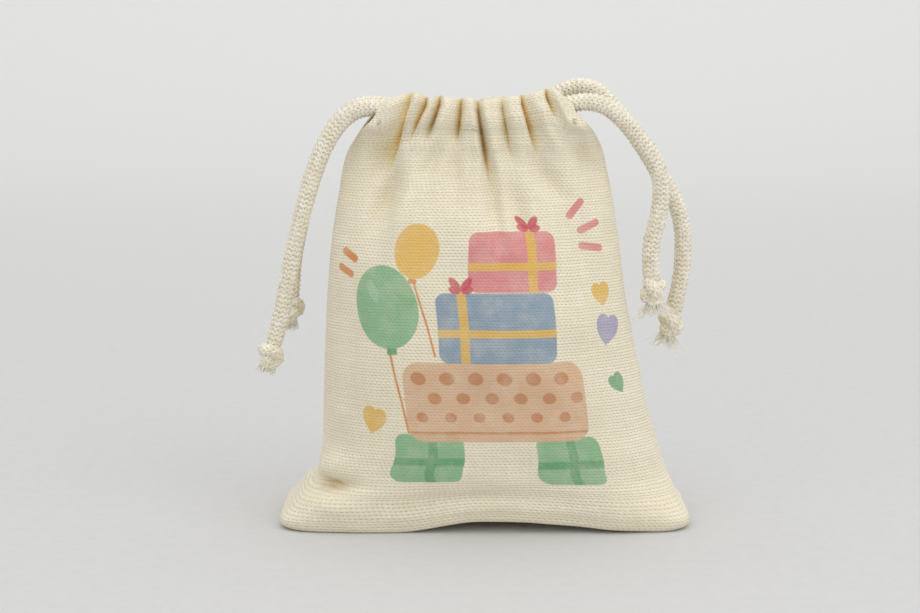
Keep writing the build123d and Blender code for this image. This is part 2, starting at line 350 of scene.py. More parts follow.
def thicken(obj, thickness, offset):
    """Gives a sheet its thickness, in millimetres; an offset of -1 keeps the outer face where it is."""
    pick(obj)
    solid = obj.modifiers.new("cloth", "SOLIDIFY")
    solid.thickness = thickness * MM
    solid.offset = offset
    bpy.ops.object.modifier_apply(modifier=solid.name)


FLAT_SPAN = 200.0  # cloth millimetres across the whole of the UV square
SHEET_THICKNESS = 0.6
CREASE_SHADE_FULL = {-1: 4.0, 1: 5.6}  # millimetres of valley that take the full painted shade, front and back
# Threads' width across the sheet at a few distances up the cloth from the bottom seam.
THREAD_SPAN = [
    (0, 112.0), (22, 116.0), (45, 112.0), (70, 106.0), (95, 98.0), (115, 92.0), (125, 90.0), (160, 90.0),
]


def map_cloth(obj, s, t):
    """Lays a piece's vertices on the flat cloth: across and up, in millimetres."""
    uv = obj.data.uv_layers.new(name="cloth")
    order = np.zeros(len(obj.data.loops), int)
    obj.data.loops.foreach_get("vertex_index", order)
    uv.data.foreach_set("uv", np.stack([s[order] / FLAT_SPAN + 0.5, t[order] / FLAT_SPAN], 1).ravel())


def cloth_sheet(sheet, material):
    """One panel of cloth with its rolled rim and the inner wall of its channel."""
    grid, crease_shade = sheet_grid(sheet)
    rows, columns, _ = grid.shape
    faces = grid_faces(rows, columns, sheet.side < 0)
    obj = new_object(f"{sheet.face}_canvas", grid.reshape(-1, 3) * MM, faces.tolist())
    middle = grid[:, columns // 2]
    rise = np.concatenate([[0], np.cumsum(np.linalg.norm(np.diff(middle, axis=0), axis=1))])
    across = np.outer(curve(THREAD_SPAN, rise), np.linspace(-0.5, 0.5, columns))
    map_cloth(obj, across.ravel(), np.repeat(rise, columns))
    # the crease shade of each point, read by the material for its painted shade
    shade_layer = obj.data.attributes.new("crease_shade", "FLOAT", "POINT")
    shade_layer.data.foreach_set("value", np.clip(crease_shade.ravel() / CREASE_SHADE_FULL[sheet.side], 0, 1))
    smooth_faces(obj)
    thicken(obj, SHEET_THICKNESS, -1)
    obj.data.materials.append(material)
    return obj


# ---- materials -------------------------------------------------------------
def srgb(r, g, b):
    """Linear colour from 0-255 display values."""
    out = []
    for value in (r, g, b):
        v = value / 255
        out.append(v / 12.92 if v <= 0.04045 else ((v + 0.055) / 1.055) ** 2.4)
    return (*out, 1.0)


class Term:
    """An output in a material's node tree that can stand in plain sums."""

    def __init__(self, nodes, socket):
        self.nodes, self.socket = nodes, socket

    def do(self, operation, other=0.0):
        return self.nodes.math(operation, self, other)

    def __add__(self, other):
        return self.do("ADD", other)

    def __sub__(self, other):
        return self.do("SUBTRACT", other)

    def __mul__(self, other):
        return self.do("MULTIPLY", other)

    def __truediv__(self, other):
        return self.do("DIVIDE", other)

    def __abs__(self):
        return self.do("ABSOLUTE")


class Nodes:
    """Short hand for building a material's node tree."""

    def __init__(self, name):
        self.material = bpy.data.materials.new(name)
        self.material.use_nodes = True
        self.tree = self.material.node_tree
        self.shader = self.tree.nodes["Principled BSDF"]

    def add(self, kind, **settings):
        node = self.tree.nodes.new(kind)
        for key, value in settings.items():
            setattr(node, key, value)
        return node

    def wire(self, value, socket):
        if isinstance(value, Term):
            value = value.socket
        if isinstance(value, bpy.types.NodeSocket):
            self.tree.links.new(value, socket)
        else:
            socket.default_value = value

    def math(self, operation, a, b=0.0):
        node = self.add("ShaderNodeMath", operation=operation)
        self.wire(a, node.inputs[0])
        self.wire(b, node.inputs[1])
        return Term(self, node.outputs[0])

    def mix(self, factor, a, b, blend="MIX"):
        node = self.add("ShaderNodeMix", data_type="RGBA", blend_type=blend)
        for value, place in ((factor, 0), (a, 6), (b, 7)):
            self.wire(value, node.inputs[place])
        return node.outputs[2]

    def noise(self, vector, scale, detail=2.0, rough=0.5):
        node = self.add("ShaderNodeTexNoise")
        for value, socket in ((vector, "Vector"), (scale, "Scale"), (detail, "Detail"), (rough, "Roughness")):
            self.wire(value, node.inputs[socket])
        return Term(self, node.outputs["Fac"])

    def spread(self, value, low, high, to_low=0.0, to_high=1.0):
        """Eases a value from one range into another."""
        node = self.add("ShaderNodeMapRange", interpolation_type="SMOOTHSTEP")
        for item, socket in zip((value, low, high, to_low, to_high), node.inputs):
            self.wire(item, socket)
        return Term(self, node.outputs[0])

    def vector(self, x, y):
        node = self.add("ShaderNodeCombineXYZ")
        self.wire(x, node.inputs[0])
        self.wire(y, node.inputs[1])
        return node.outputs[0]

    def split(self, vector):
        node = self.add("ShaderNodeSeparateXYZ")
        self.wire(vector, node.inputs[0])
        return [Term(self, socket) for socket in node.outputs]

    def uv(self, name):
        return self.split(self.add("ShaderNodeUVMap", uv_map=name).outputs[0])[:2]

    def place(self):
        """Where a point is on the piece, in metres."""
        return self.add("ShaderNodeTexCoord").outputs["Object"]

    def bump(self, height, distance, strength, normal=None):
        node = self.add("ShaderNodeBump")
        for value, socket in ((distance, "Distance"), (strength, "Strength"), (height, "Height")):
            self.wire(value, node.inputs[socket])
        if normal is not None:
            self.wire(normal, node.inputs["Normal"])
        return node.outputs[0]

    def finish(self, **values):
        """Fills the shader's sockets, whose names have _ for each space, and hands over the material."""
        for name, value in values.items():
            self.wire(value, self.shader.inputs[name.replace("_", " ")])
        return self.material


def weave(nodes, s, t, cloth):
    """Plain weave: height 0-1, which thread is on top, and how deep each gap between threads is."""
    drift = nodes.noise(nodes.vector(s * 0.05, t * 0.05), 3.0)
    warp = (s * (math.pi / cloth.warp_pitch) + drift * 1.6).do("SINE")
    weft = t * (math.pi / cloth.weft_pitch) + drift * 1.9
    up = weft.do("SINE")
    over = nodes.spread(warp * up.do("SIGN"), -0.75, 0.35)
    height = (over * 0.36 + 0.64) * (abs(up).do("POWER", 0.6) * 0.6 + 0.4)
    hole = nodes.spread(warp * weft.do("COSINE").do("SIGN"), -0.1, 0.8, 0.20, 1.0)
    return height, over, nodes.spread(abs(up), 0.72, 0.10) * hole


def canvas_material(name, cloth, printed):
    nodes = Nodes(name)
    s, t = nodes.uv("cloth")
    s, t = s * FLAT_SPAN - FLAT_SPAN / 2, t * FLAT_SPAN
    height, over, gap = weave(nodes, s, t, cloth)
    weft_noise = nodes.noise(nodes.vector(s * 0.09, t * (1 / cloth.weft_pitch)), 1.0, 3.0, 0.6)
    warp_noise = nodes.noise(nodes.vector(s * (1 / cloth.warp_pitch), t * 0.09), 1.0, 3.0, 0.6)
    thread = nodes.mix(over, warp_noise, weft_noise)
    patch = nodes.noise(nodes.vector(s, t), 0.055, 3.0, 0.55)
    colour = nodes.mix(nodes.spread(thread, 0.40, 0.70), cloth.colour[:], cloth.light[:])
    colour = nodes.mix(gap * 0.62, colour, cloth.shade[:])
    colour = nodes.mix(nodes.spread(patch, 0.35, 0.7, 0.0, 0.30), colour, cloth.patch[:])
    fleck = nodes.add("ShaderNodeTexVoronoi", feature="F1")
    nodes.wire(nodes.vector(s * 0.16, t * 0.13), fleck.inputs["Vector"])
    fleck.inputs["Scale"].default_value = 1.0
    spot = nodes.math("LESS_THAN", fleck.outputs["Distance"], 0.032)
    colour = nodes.mix(spot * 0.55, colour, cloth.fleck[:])
    if printed:
        colour = printed(nodes, s, t, colour, height)
    # Painted shade: the pleats and hollows are darkened and warmed by their crease shade, in place of their
    # shade and warm bounced light.
    crease_shade = nodes.add("ShaderNodeAttribute", attribute_name="crease_shade").outputs["Fac"]
    colour = nodes.mix(nodes.spread(crease_shade, 0.20, 0.75, 0.0, 0.80), colour, cloth.crease_shade[:], "MULTIPLY")
    colour = nodes.mix(nodes.spread(crease_shade, 0.50, 1.0, 0.0, 0.75), colour, cloth.crevice_shade[:], "MULTIPLY")
    slub = nodes.noise(nodes.vector(s * 0.25, t * 1.3), 1.0)
    lint = nodes.noise(nodes.vector(s, t), 5.0)
    normal = nodes.bump(slub, 0.00012, 0.6)
    normal = nodes.bump(lint, 0.00006, 0.5, normal)
    normal = nodes.bump(height, 0.00022, 0.9, normal)
    rough = nodes.spread(height, 0.0, 1.0, 0.97, 0.84)
    return nodes.finish(Base_Color=colour, Normal=normal, Roughness=rough, Specular_IOR_Level=0.22,
                        Sheen_Weight=0.25, Sheen_Roughness=0.5)


def cord_material(name, cord):
    """Twisted cotton yarn: UV x runs along the yarn, 0.1 metres to a unit, and y once around it."""
    nodes = Nodes(name)
    along, around = nodes.uv("yarn")
    turn = around * 4.0 + along * 100.0
    ply = (turn * (2 * math.pi * 1.1)).do("SINE") * 0.5 + 0.5
    place = nodes.place()
    fibre = nodes.noise(place, 2600.0, 3.0, 0.65)
    tone = nodes.noise(place, 420.0)
    colour = nodes.mix(nodes.spread(ply, 0.0, 0.8), cord.shade[:], cord.colour[:])
    colour = nodes.mix(nodes.spread(tone, 0.4, 0.68, 0.0, 0.7), colour, cord.light[:])
    colour = nodes.mix(nodes.spread(fibre, 0.45, 0.8, 0.0, 0.35), colour, cord.shade[:])
    normal = nodes.bump(fibre, 0.00008, 0.8, nodes.bump(ply, 0.00010, 0.8))
    rough = nodes.spread(fibre, 0.0, 1.0, 0.98, 0.86)
    return nodes.finish(Base_Color=colour, Normal=normal, Roughness=rough, Specular_IOR_Level=0.2,
                        Sheen_Weight=0.4, Sheen_Roughness=0.45)


def thread_material(name, cloth):
    nodes = Nodes(name)
    tone = nodes.noise(nodes.place(), 1500.0)
    colour = nodes.mix(nodes.spread(tone, 0.3, 0.7), cloth.patch[:], cloth.light[:])
    return nodes.finish(Base_Color=colour, Normal=nodes.bump(tone, 0.00008, 0.8),
                        Roughness=nodes.spread(tone, 0.0, 1.0, 0.8, 0.6), Sheen_Weight=0.3)


def fluff_material(name, cord):
    nodes = Nodes(name)
    tone = nodes.noise(nodes.place(), 900.0, 3.0, 0.6)
    colour = nodes.mix(nodes.spread(tone, 0.35, 0.65), cord.colour[:], cord.light[:])
    return nodes.finish(Base_Color=colour, Roughness=nodes.spread(tone, 0.0, 1.0, 0.95, 0.8),
                        Specular_IOR_Level=0.2, Sheen_Weight=0.6, Subsurface_Weight=0.35,
                        Subsurface_Radius=(0.0012, 0.0010, 0.0008), Subsurface_Scale=1.0)


# ---- printed motif -----------------------------------------------------------
# Own plain design: two balloons, stacked parcels, hearts and dashes, in millimetres of flat cloth.
GREEN, DEEP_GREEN, PALE_GREEN = srgb(124, 176, 132), srgb(98, 158, 112), srgb(168, 200, 168)
PEACH, RUST = srgb(212, 172, 138), srgb(190, 128, 84)
BLUE, PINK, ROSE = srgb(124, 148, 170), srgb(212, 126, 130), srgb(196, 76, 92)
YELLOW, ORANGE, LILAC = srgb(222, 178, 84), srgb(208, 124, 52), srgb(156, 152, 184)
INK_EDGE = 0.16
MOTIF_X, MOTIF_UP, MOTIF_SCALE = 4.2, 2.4, 1.05  # where the whole print sits on the cloth


class Print:
    """Lays flat shapes of ink over a colour. A shape is the distance to its outline, negative inside."""

    def __init__(self, nodes, s, t, colour):
        self.nodes, self.s, self.t, self.colour = nodes, s, t, colour

    def turned(self, x, y, turn):
        u, v = self.s - x, self.t - y
        if not turn:
            return u, v
        c, s = math.cos(math.radians(turn)), math.sin(math.radians(turn))
        return u * c + v * s, v * c - u * s

    def box(self, x, y, half_x, half_y, corner, turn=0.0):
        u, v = self.turned(x, y, turn)
        u, v = abs(u) - (half_x - corner), abs(v) - (half_y - corner)
        out_u, out_v = u.do("MAXIMUM"), v.do("MAXIMUM")
        return (out_u * out_u + out_v * out_v).do("SQRT") + u.do("MAXIMUM", v).do("MINIMUM") - corner

    def oval(self, x, y, half_x, half_y, turn=0.0):
        u, v = self.turned(x, y, turn)
        u, v = u / half_x, v / half_y
        return ((u * u + v * v).do("SQRT") - 1.0) * min(half_x, half_y)

    def heart(self, x, y, size, turn):
        u, v = self.turned(x, y, turn)
        u = abs(u) / size
        v = v / size - u.do("SQRT") * 0.62
        return ((u * u + v * v).do("SQRT") - 1.0) * size

    def ink(self, pigment, shape, strength=0.9, within=None):
        if within is not None:
            shape = shape.do("MAXIMUM", within)
        mask = self.nodes.spread(shape, INK_EDGE, -INK_EDGE, 0.0, strength)
        self.colour = self.nodes.mix(mask, self.colour, pigment)

    def parcel(self, x, y, half_x, half_y, paper, ribbon, ribbon_x):
        """A wrapped parcel with one upright and one level ribbon."""
        outline = self.box(x, y, half_x, half_y, 2.4)
        self.ink(paper, outline)
        self.ink(ribbon, self.box(x + ribbon_x, y, 1.15, half_y, 0.1), within=outline)
        self.ink(ribbon, self.box(x, y - 0.15 * half_y, half_x, 1.0, 0.1), within=outline)

    def bow(self, x, y, size, pigment):
        for lean, reach in ((38, 1.0), (-38, 1.0), (75, 0.7), (-75, 0.7)):
            a, out = math.radians(lean), size * reach
            loop = self.oval(x + math.sin(a) * out, y + math.cos(a) * out, 0.42 * size, 0.95 * out, -lean)
            self.ink(pigment, loop)


def motif(nodes, s, t, plain, height):
    """All the printed shapes, laid over the bare cloth."""
    s, t = (s - MOTIF_X) / MOTIF_SCALE, (t - MOTIF_UP) / MOTIF_SCALE
    art = Print(nodes, s, t, plain)
    art.parcel(-19.0, 37.2, 8.6, 6.4, GREEN, DEEP_GREEN, 0.8)
    art.parcel(15.5, 36.2, 8.0, 6.4, GREEN, DEEP_GREEN, 0.8)
    big = art.box(-1.0, 52.0, 23.0, 10.4, 4.5)
    art.ink(PEACH, big)
    for up, offset, size in ((58.2, 0.0, 1.7), (53.0, 3.6, 1.5), (48.0, 0.0, 1.3)):
        for place in range(6):
            dot = art.oval(-20.0 + 7.2 * place + offset, up, size * 1.15, size, 12 * (place % 3 - 1))
            art.ink(RUST, dot, 0.8, big)
    art.ink(RUST, art.box(-1.0, 44.0, 23.0, 0.35, 0.1), 0.8, big)
    art.parcel(0.6, 71.0, 14.8, 8.8, BLUE, YELLOW, -8.2)
    art.parcel(5.6, 87.6, 11.2, 7.6, PINK, YELLOW, 5.0)
    art.bow(-7.6, 80.2, 2.3, ROSE)
    art.bow(10.6, 95.6, 2.3, ROSE)
    art.ink(ORANGE, art.box(-25.4, 55.0, 0.28, 11.5, 0.2, 8))
    art.ink(GREEN, art.oval(-27.0, 76.0, 8.4, 10.6, 4))
    art.ink(DEEP_GREEN, art.box(-26.2, 64.8, 1.3, 0.8, 0.3, 4))
    art.ink(PALE_GREEN, art.oval(-30.0, 80.0, 1.3, 3.0, 20), 0.6)
    art.ink(YELLOW, art.oval(-18.6, 90.4, 5.6, 7.0, -8))
    art.ink(ORANGE, art.box(-19.6, 82.8, 1.0, 0.6, 0.2, -8))
    art.ink(ORANGE, art.box(-17.2, 73.0, 0.26, 9.4, 0.2, 12))
    for x, y, half, turn, pigment in (
        (24.0, 101.0, 3.4, -38, PINK), (27.2, 96.0, 3.4, -66, PINK), (27.4, 90.6, 3.4, -98, PINK),
        (-37.2, 88.6, 2.8, 62, ORANGE), (-38.6, 84.6, 2.8, 66, ORANGE),
    ):
        art.ink(pigment, art.box(x, y, 0.95, half, 0.95, turn))
    for x, y, size, turn, pigment in (
        (29.6, 78.0, 2.7, 8, YELLOW), (30.4, 68.6, 3.6, -10, LILAC), (-33.0, 46.0, 3.2, -14, YELLOW),
        (32.6, 55.0, 2.4, 24, DEEP_GREEN),
    ):
        art.ink(pigment, art.heart(x, y, size, turn))
    wash = nodes.noise(nodes.vector(s, t), 0.14, 4.0, 0.62)
    colour = nodes.mix(nodes.spread(wash, 0.38, 0.70, 0.0, 0.22), art.colour, plain)
    return nodes.mix(nodes.spread(height, 0.28, 0.60, 0.26, 0.0), colour, plain)


# ---- cords -------------------------------------------------------------------
# Route of each cord end (x, height) in drawn millimetres, from inside the channel to its knot.
ROUTES = {
    "left_front": [
        (-4.0, 112.6), (-12.0, 112.6), (-20.0, 112.6), (-27.5, 113.0), (-33.2, 113.2), (-37.8, 110.4),
        (-41.2, 106.0), (-44.6, 99.2), (-48.0, 89.0), (-51.0, 77.4), (-53.3, 66.4), (-55.2, 56.6),
        (-57.0, 50.4),
    ],
    "left_back": [
        (-4.0, 112.6), (-12.0, 112.6), (-20.0, 112.6), (-27.5, 113.2), (-33.6, 113.6), (-38.6, 110.6),
        (-42.3, 105.8), (-45.8, 98.8), (-49.0, 89.0), (-51.6, 78.0), (-53.2, 68.6), (-53.8, 60.4),
    ],
    "right_front": [
        (-2.0, 112.6), (6.0, 112.6), (14.0, 112.6), (20.5, 113.6), (26.4, 115.0), (32.2, 114.0),
        (37.6, 109.2), (42.6, 103.4), (46.4, 97.4), (47.6, 90.6), (46.6, 83.6), (45.0, 77.6), (44.5, 72.6),
        (45.1, 67.8),
    ],
    "right_back": [
        (-2.0, 112.2), (6.0, 112.2), (13.0, 112.8), (18.8, 115.6), (24.6, 118.6), (30.4, 117.8),
        (35.8, 112.4), (40.6, 106.4), (44.8, 100.2), (48.6, 93.6), (52.6, 87.6), (54.9, 80.4), (55.3, 73.0),
        (54.8, 65.8), (53.8, 60.6), (52.9, 56.6),
    ],
}
INSIDE_Y = 6.5  # the gathers press the cords inwards
EXITS = {"left": -28.0, "right": 21.0}
CHANNEL_SQUEEZE = 0.30  # the gathered channel presses a cord this much thinner
LOOP_SHARE = 0.72  # a loop's thickness, as a share of its cord's
LOOP_INSET = 3.4  # from a side edge of the pouch to the loop that turns there
KNOT_LENGTH = 7.4
KNOT_SIZE = 0.84  # millimetres to a unit of the curve that a knot follows
LOOSE_FIBRES, KNOT_FIBRES, YARN_ENDS = 700, 90, 240
TUFT_RADIUS = 1.9
TUFTS = {  # length, spread and how far it droops
    "left_front": (2.2, 0.8, 0.3), "left_back": (2.2, 0.7, 0.3),
    "right_front": (3.4, 2.3, 0.5), "right_back": (3.4, 1.9, 0.5),
}


def spline_points(points):
    """Points along a NURBS spline with these control points, in metres."""
    data = bpy.data.curves.new("route", "CURVE")
    data.dimensions = "3D"
    data.resolution_u = 24
    spline = data.splines.new("NURBS")
    spline.points.add(len(points) - 1)
    for control, place in zip(spline.points, points):
        control.co = (*place, 1.0)
    spline.order_u = 3
    spline.use_endpoint_u = True
    obj = bpy.data.objects.new("route", data)
    bpy.context.collection.objects.link(obj)
    mesh = bpy.data.meshes.new_from_object(obj)
    line = np.array([v.co[:] for v in mesh.vertices])
    bpy.data.objects.remove(obj)
    bpy.data.curves.remove(data)
    bpy.data.meshes.remove(mesh)
    return line


def lengths(line):
    """How far along a line each of its points is."""
    return np.concatenate([[0], np.cumsum(np.linalg.norm(np.diff(line, axis=0), axis=1))])


def even(line, step):
    """The same line in equal steps, and its length."""
    along = lengths(line)
    at = np.linspace(0, along[-1], max(2, int(round(along[-1] / step))) + 1)
    return np.stack([np.interp(at, along, line[:, k]) for k in range(3)], 1), along[-1]


def frames(line):
    """Tangents and two turning-free side vectors along a line."""
    tangent = np.gradient(line, axis=0)
    tangent /= np.linalg.norm(tangent, axis=1)[:, None]
    start = np.array([0.0, 1.0, 0.0]) if abs(tangent[0][1]) < 0.9 else np.array([1.0, 0.0, 0.0])
    sides, side = [], start
    for direction in tangent:
        side = side - direction * side.dot(direction)
        side /= np.linalg.norm(side)
        sides.append(side)
    sides = np.array(sides)
    return tangent, sides, np.cross(tangent, sides)


def side_pair(along):
    """Two unit vectors square to a direction and to each other."""
    side = np.cross(along, [0, 1, 0])
    side /= np.linalg.norm(side)
    return side, np.cross(along, side)


class MeshParts:
    """Collects tubes into one mesh with a yarn UV map."""

    def __init__(self):
        self.verts, self.faces, self.uvs, self.count = [], [], [], 0

    def tube(self, line, radius, corners, squash=1.0, first_u=0.0):
        """A closed tube around a line; radius is a number or one for each point."""
        line = np.asarray(line)
        n = len(line)
        radius = np.broadcast_to(np.asarray(radius, float), (n,))
        _, a, b = frames(line)
        turn = np.linspace(0, 2 * math.pi, corners, endpoint=False)[None, :, None]
        ring = np.cos(turn) * a[:, None, :] + squash * np.sin(turn) * b[:, None, :]
        verts = line[:, None, :] + ring * radius[:, None, None]
        us = first_u + lengths(line) * 10
        base = self.count
        self.verts.append(verts.reshape(-1, 3))
        self.count += n * corners
        for i in range(n - 1):
            low, high = base + i * corners, base + (i + 1) * corners
            for j in range(corners):
                k = (j + 1) % corners
                v0, v1 = j / corners, (j + 1) / corners
                self.faces.append((low + j, low + k, high + k, high + j))
                self.uvs += [(us[i], v0), (us[i], v1), (us[i + 1], v1), (us[i + 1], v0)]
        self.faces.append(tuple(base + j for j in reversed(range(corners))))
        self.faces.append(tuple(base + (n - 1) * corners + j for j in range(corners)))
        self.uvs += [(first_u, 0.5)] * (2 * corners)

    def build(self, name, material):
        obj = new_object(name, np.concatenate(self.verts), self.faces)
        uv = obj.data.uv_layers.new(name="yarn")
        uv.data.foreach_set("uv", np.array(self.uvs).ravel())
        smooth_faces(obj)
        obj.data.materials.append(material)
        return obj


STRAND_WIDTH = 0.294  # a strand's half-width, as a share of the room it has around the cord
STRAND_INSET, STRAND_SQUASH = 0.20, 0.9  # a strand's inset, as a share of the cord's radius, and its flatness
STRAND_RISE = 0.55  # how far a strand moves in and out at a crossing, as a share of its inset
CORE = 0.80  # radius of the core that fills the braid, as a share of the cord's


def braid(parts, line, radius, strands, pitch, step=0.45e-3, squeeze=None):
    """Strands that cross over and under around a line; squeeze gives the share of the radius at each x."""
    line, length = even(line, step)
    _, a, b = frames(line)
    along = np.linspace(0, length, len(line))
    share = squeeze(line[:, 0]) if squeeze else np.ones(len(line))
    half = strands // 2
    width = 2 * math.pi * radius / half * STRAND_WIDTH
    inset = radius * STRAND_INSET
    for index in range(strands):
        way = 1 if index % 2 else -1
        start = 2 * math.pi * (index // 2) / half + (math.pi / half if way < 0 else 0)
        angle = start + way * 2 * math.pi * along / pitch
        wave = np.cos(half * angle + (0 if way > 0 else math.pi))
        out = (radius - inset + STRAND_RISE * inset * wave) * share
        strand = line + out[:, None] * (np.cos(angle)[:, None] * a + np.sin(angle)[:, None] * b)
        parts.tube(strand, width * share, 6, STRAND_SQUASH, index * 0.37)
    parts.tube(line, radius * CORE * share, 12)


def fuzz(parts, line, radius, count, rng):
    """Short loose fibres that stand off the cord."""
    line, _ = even(line, 0.8e-3)
    tangent, a, b = frames(line)
    t = np.linspace(0, 1, 4)[:, None]
    for _ in range(count):
        i = rng.integers(1, len(line) - 1)
        turn = rng.uniform(0, 2 * math.pi)
        out = math.cos(turn) * a[i] + math.sin(turn) * b[i]
        root = line[i] + out * radius * 0.9
        lie = tangent[i] * rng.uniform(-1, 1) + np.cross(tangent[i], out) * rng.uniform(-1, 1)
        reach = rng.uniform(0.5, 1.3) * MM
        fibre = root + t * lie * reach + (t - 0.6 * t * t) * out * rng.uniform(0.3, 0.9) * MM
        parts.tube(fibre, 0.028 * MM, 3)


def inside(x, side):
    """How far a place is inside the channel from that side's exit, in millimetres."""
    return (x - EXITS[side]) * (1 if side == "left" else -1)


def cord_route(name):
    side, face = name.split("_")
    toward = -1 if face == "front" else 1
    points = []
    for x, z in ROUTES[name]:
        depth = LANE + (INSIDE_Y - LANE) * ramp(-2, 8, inside(x, side))
        points.append(Vector((x, toward * depth, z)) * MM)
    return points


def knot_piece(name, at, along, seed, material):
    """A tight overhand knot around the cord's end."""
    rng = np.random.default_rng(seed)
    turn = np.linspace(0, 2 * math.pi, 120)
    loop = np.stack([
        np.sin(turn) + 2 * np.sin(2 * turn), np.cos(turn) - 2 * np.cos(2 * turn), -1.7 * np.sin(3 * turn),
    ], 1) * KNOT_SIZE * MM
    side, third = side_pair(along)
    tilt = rng.uniform(0.9, 1.3)
    spin = rng.uniform(0, 2 * math.pi)
    a = math.cos(spin) * side + math.sin(spin) * third
    b = -math.sin(spin) * side + math.cos(spin) * third
    axis = math.cos(tilt) * along + math.sin(tilt) * b
    other = -math.sin(tilt) * along + math.cos(tilt) * b
    centre = at + along * KNOT_LENGTH / 2 * MM
    line = centre + loop[:, :1] * a + loop[:, 1:2] * other + loop[:, 2:] * axis
    parts = MeshParts()
    braid(parts, line, 1.6 * MM, 12, 7.0 * MM, 0.4e-3)
    core = np.stack([at - along * 0.8 * MM, centre, centre + along * (KNOT_LENGTH / 2 + 0.2) * MM])
    braid(parts, core, 1.95 * MM, 12, 8.0 * MM, 0.4e-3)
    fuzz(parts, line, 1.7 * MM, KNOT_FIBRES, rng)
    return parts.build(name, material)


def tuft_piece(name, at, along, seed, material, length, spread, droop):
    """Frayed yarn ends that fan out below the knot."""
    rng = np.random.default_rng(seed)
    side, third = side_pair(along)
    parts = MeshParts()
    t = np.linspace(0, 1, 7)
    for index in range(YARN_ENDS):
        r = TUFT_RADIUS * math.sqrt(rng.uniform(0.01, 1))
        turn = rng.uniform(0, 2 * math.pi)
        out = math.cos(turn) * side + math.sin(turn) * third
        reach = length * rng.uniform(0.45, 1.1)
        fan = spread * (0.2 + (r / TUFT_RADIUS) * rng.uniform(0.3, 1.1))
        curl, twist = rng.normal(0, 0.45, 3), rng.uniform(2.0, 5.0)
        line = (
            at - along * 0.4 * MM + out * r * MM
            + np.outer(t * reach * MM, along)
            + np.outer(t ** 1.25 * reach * fan * 0.62 * MM, out)
            + np.outer(-t ** 2 * droop * MM, [0, 0, 1.0])
            + np.outer(np.sin(t * twist) * MM * 0.75, curl)
        )
        thick = (0.16 if index % 5 == 0 else 0.07) * MM
        parts.tube(line, thick * (1 - 0.6 * t), 4, 1.0, index * 0.13)
    return parts.build(name, material)


# ---- seams and stitches ----------------------------------------------------------
SEAM_INSET = 1.7  # from a side edge of the pouch to its seam
PLY_GAP, PLY_CURL, PLY_THICKNESS = 0.34, 0.5, 0.55  # a seam allowance's plies: half their gap, curl apart
STITCH, STITCH_GAP, STITCH_STEP = 2.1, 0.7, 0.2
THREAD, TACK_THREAD = 0.11, 0.16  # radii of the threads
STITCH_RISE, STITCH_CLEAR = 1.5, 3.5  # a channel's stitches: above its lower edge, and from its ends
TACKS = (("left", -28.2), ("right", 23.6))  # where each bar tack stands
TACK_LOW, TACK_HIGH, TACK_HALF = 108.0, 110.6, 0.45  # a bar tack's height from and to, and half its width


def seam_strip(line, inward, width):
    """Grid of a seam allowance: a line of points and the way it reaches, in millimetres."""
    count = np.arange(len(line))
    wave = 0.25 * np.sin(count * 0.9) + 0.2 * np.sin(count * 0.37)
    grid = line[:, None, :] + np.linspace(0, width, 9)[None, :, None] * inward
    grid[:, -3:, :] += wave[:, None, None] * inward
    return grid


def ply_pair(name, grid, material):
    """Two plies of cloth that lie together, as one piece."""
    rows, columns, _ = grid.shape
    apart = np.outer(PLY_GAP + PLY_CURL * np.linspace(0, 1, columns) ** 2, [0, 1, 0])
    verts = np.concatenate([ply.reshape(-1, 3) for ply in (grid + apart, grid - apart)]) * MM
    faces = grid_faces(rows, columns, True)
    obj = new_object(name, verts, np.concatenate([faces, faces + rows * columns]).tolist())
    pick(obj)
    bpy.ops.object.mode_set(mode="EDIT")
    bpy.ops.mesh.select_all(action="SELECT")
    bpy.ops.mesh.normals_make_consistent(inside=False)
    bpy.ops.object.mode_set(mode="OBJECT")
    map_cloth(obj, verts[:, 0] / MM, verts[:, 2] / MM)
    thicken(obj, PLY_THICKNESS, 0)
    smooth_faces(obj)
    obj.data.materials.append(material)
    return obj


def stitch_row(name, line, out, material):
    """Straight stitches along a line, each one sinking into the cloth at both ends."""
    line, _ = even(line, STITCH_STEP)
    parts = MeshParts()
    steps = int(round(STITCH / STITCH_STEP))
    pace = int(round((STITCH + STITCH_GAP) / STITCH_STEP))
    t = np.linspace(0, 1, steps + 1)[:, None]
    for start in range(2, len(line) - steps, pace):
        sunk = line[start:start + steps + 1] + np.array(out) * (0.02 - 0.5 * (2 * t - 1) ** 4)
        parts.tube(sunk * MM, THREAD * MM, 5)
    return parts.build(name, material)


def add_seam(name, node, line, inward, width, step_in, canvas, thread):
    """A seam allowance inside the pouch and the stitches along it."""
    strip = ply_pair(f"{name}_seam_allowance", seam_strip(line, inward, width), canvas)
    row = line + inward * step_in - np.array([0, 0.75, 0])
    stitches = stitch_row(f"{name}_seam_thread", row, (0, -1, 0), thread)
    stand_for(strip, "cotton_canvas", node)
    stand_for(stitches, "sewing_thread", f"{name}_seam_stitches")
    for obj in (strip, stitches):
        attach(obj, "pouch")


def bar_tack(name, place, sheet, material):
    """Thread that zigzags up the outside of a sheet beside a cord's exit."""
    points = []
    for i, z in enumerate(np.linspace(TACK_LOW, TACK_HIGH, 14)):
        x = place + (TACK_HALF if i % 2 else -TACK_HALF)
        line_x, line_y, _ = section(z, sheet)
        y = line_y[np.argmin(np.abs(line_x - x))]
        points.append((x, y + sheet.side * TACK_THREAD, z))
    parts = MeshParts()
    parts.tube(np.array(points) * MM, TACK_THREAD * MM, 5)
    return parts.build(name, material)


def stand_for(obj, slot, *nodes):
    """Hides the CAD nodes that a finished piece stands in for; slot, what it is made of, is not used."""
    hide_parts(*nodes)


def blend_to_rim(obj):
    """Bakes a piece's placement into its mesh."""
    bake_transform(obj)


# ---- settings ------------------------------------------------------------------
def colour_property(name, text, default):
    return bpy.props.FloatVectorProperty(
        name=name, description=text, subtype="COLOR", size=4, min=0, max=1, default=default
    )


def number_property(name, text, default, least=0.0, unit="NONE"):
    return bpy.props.FloatProperty(name=name, description=text, default=default, min=least, unit=unit)


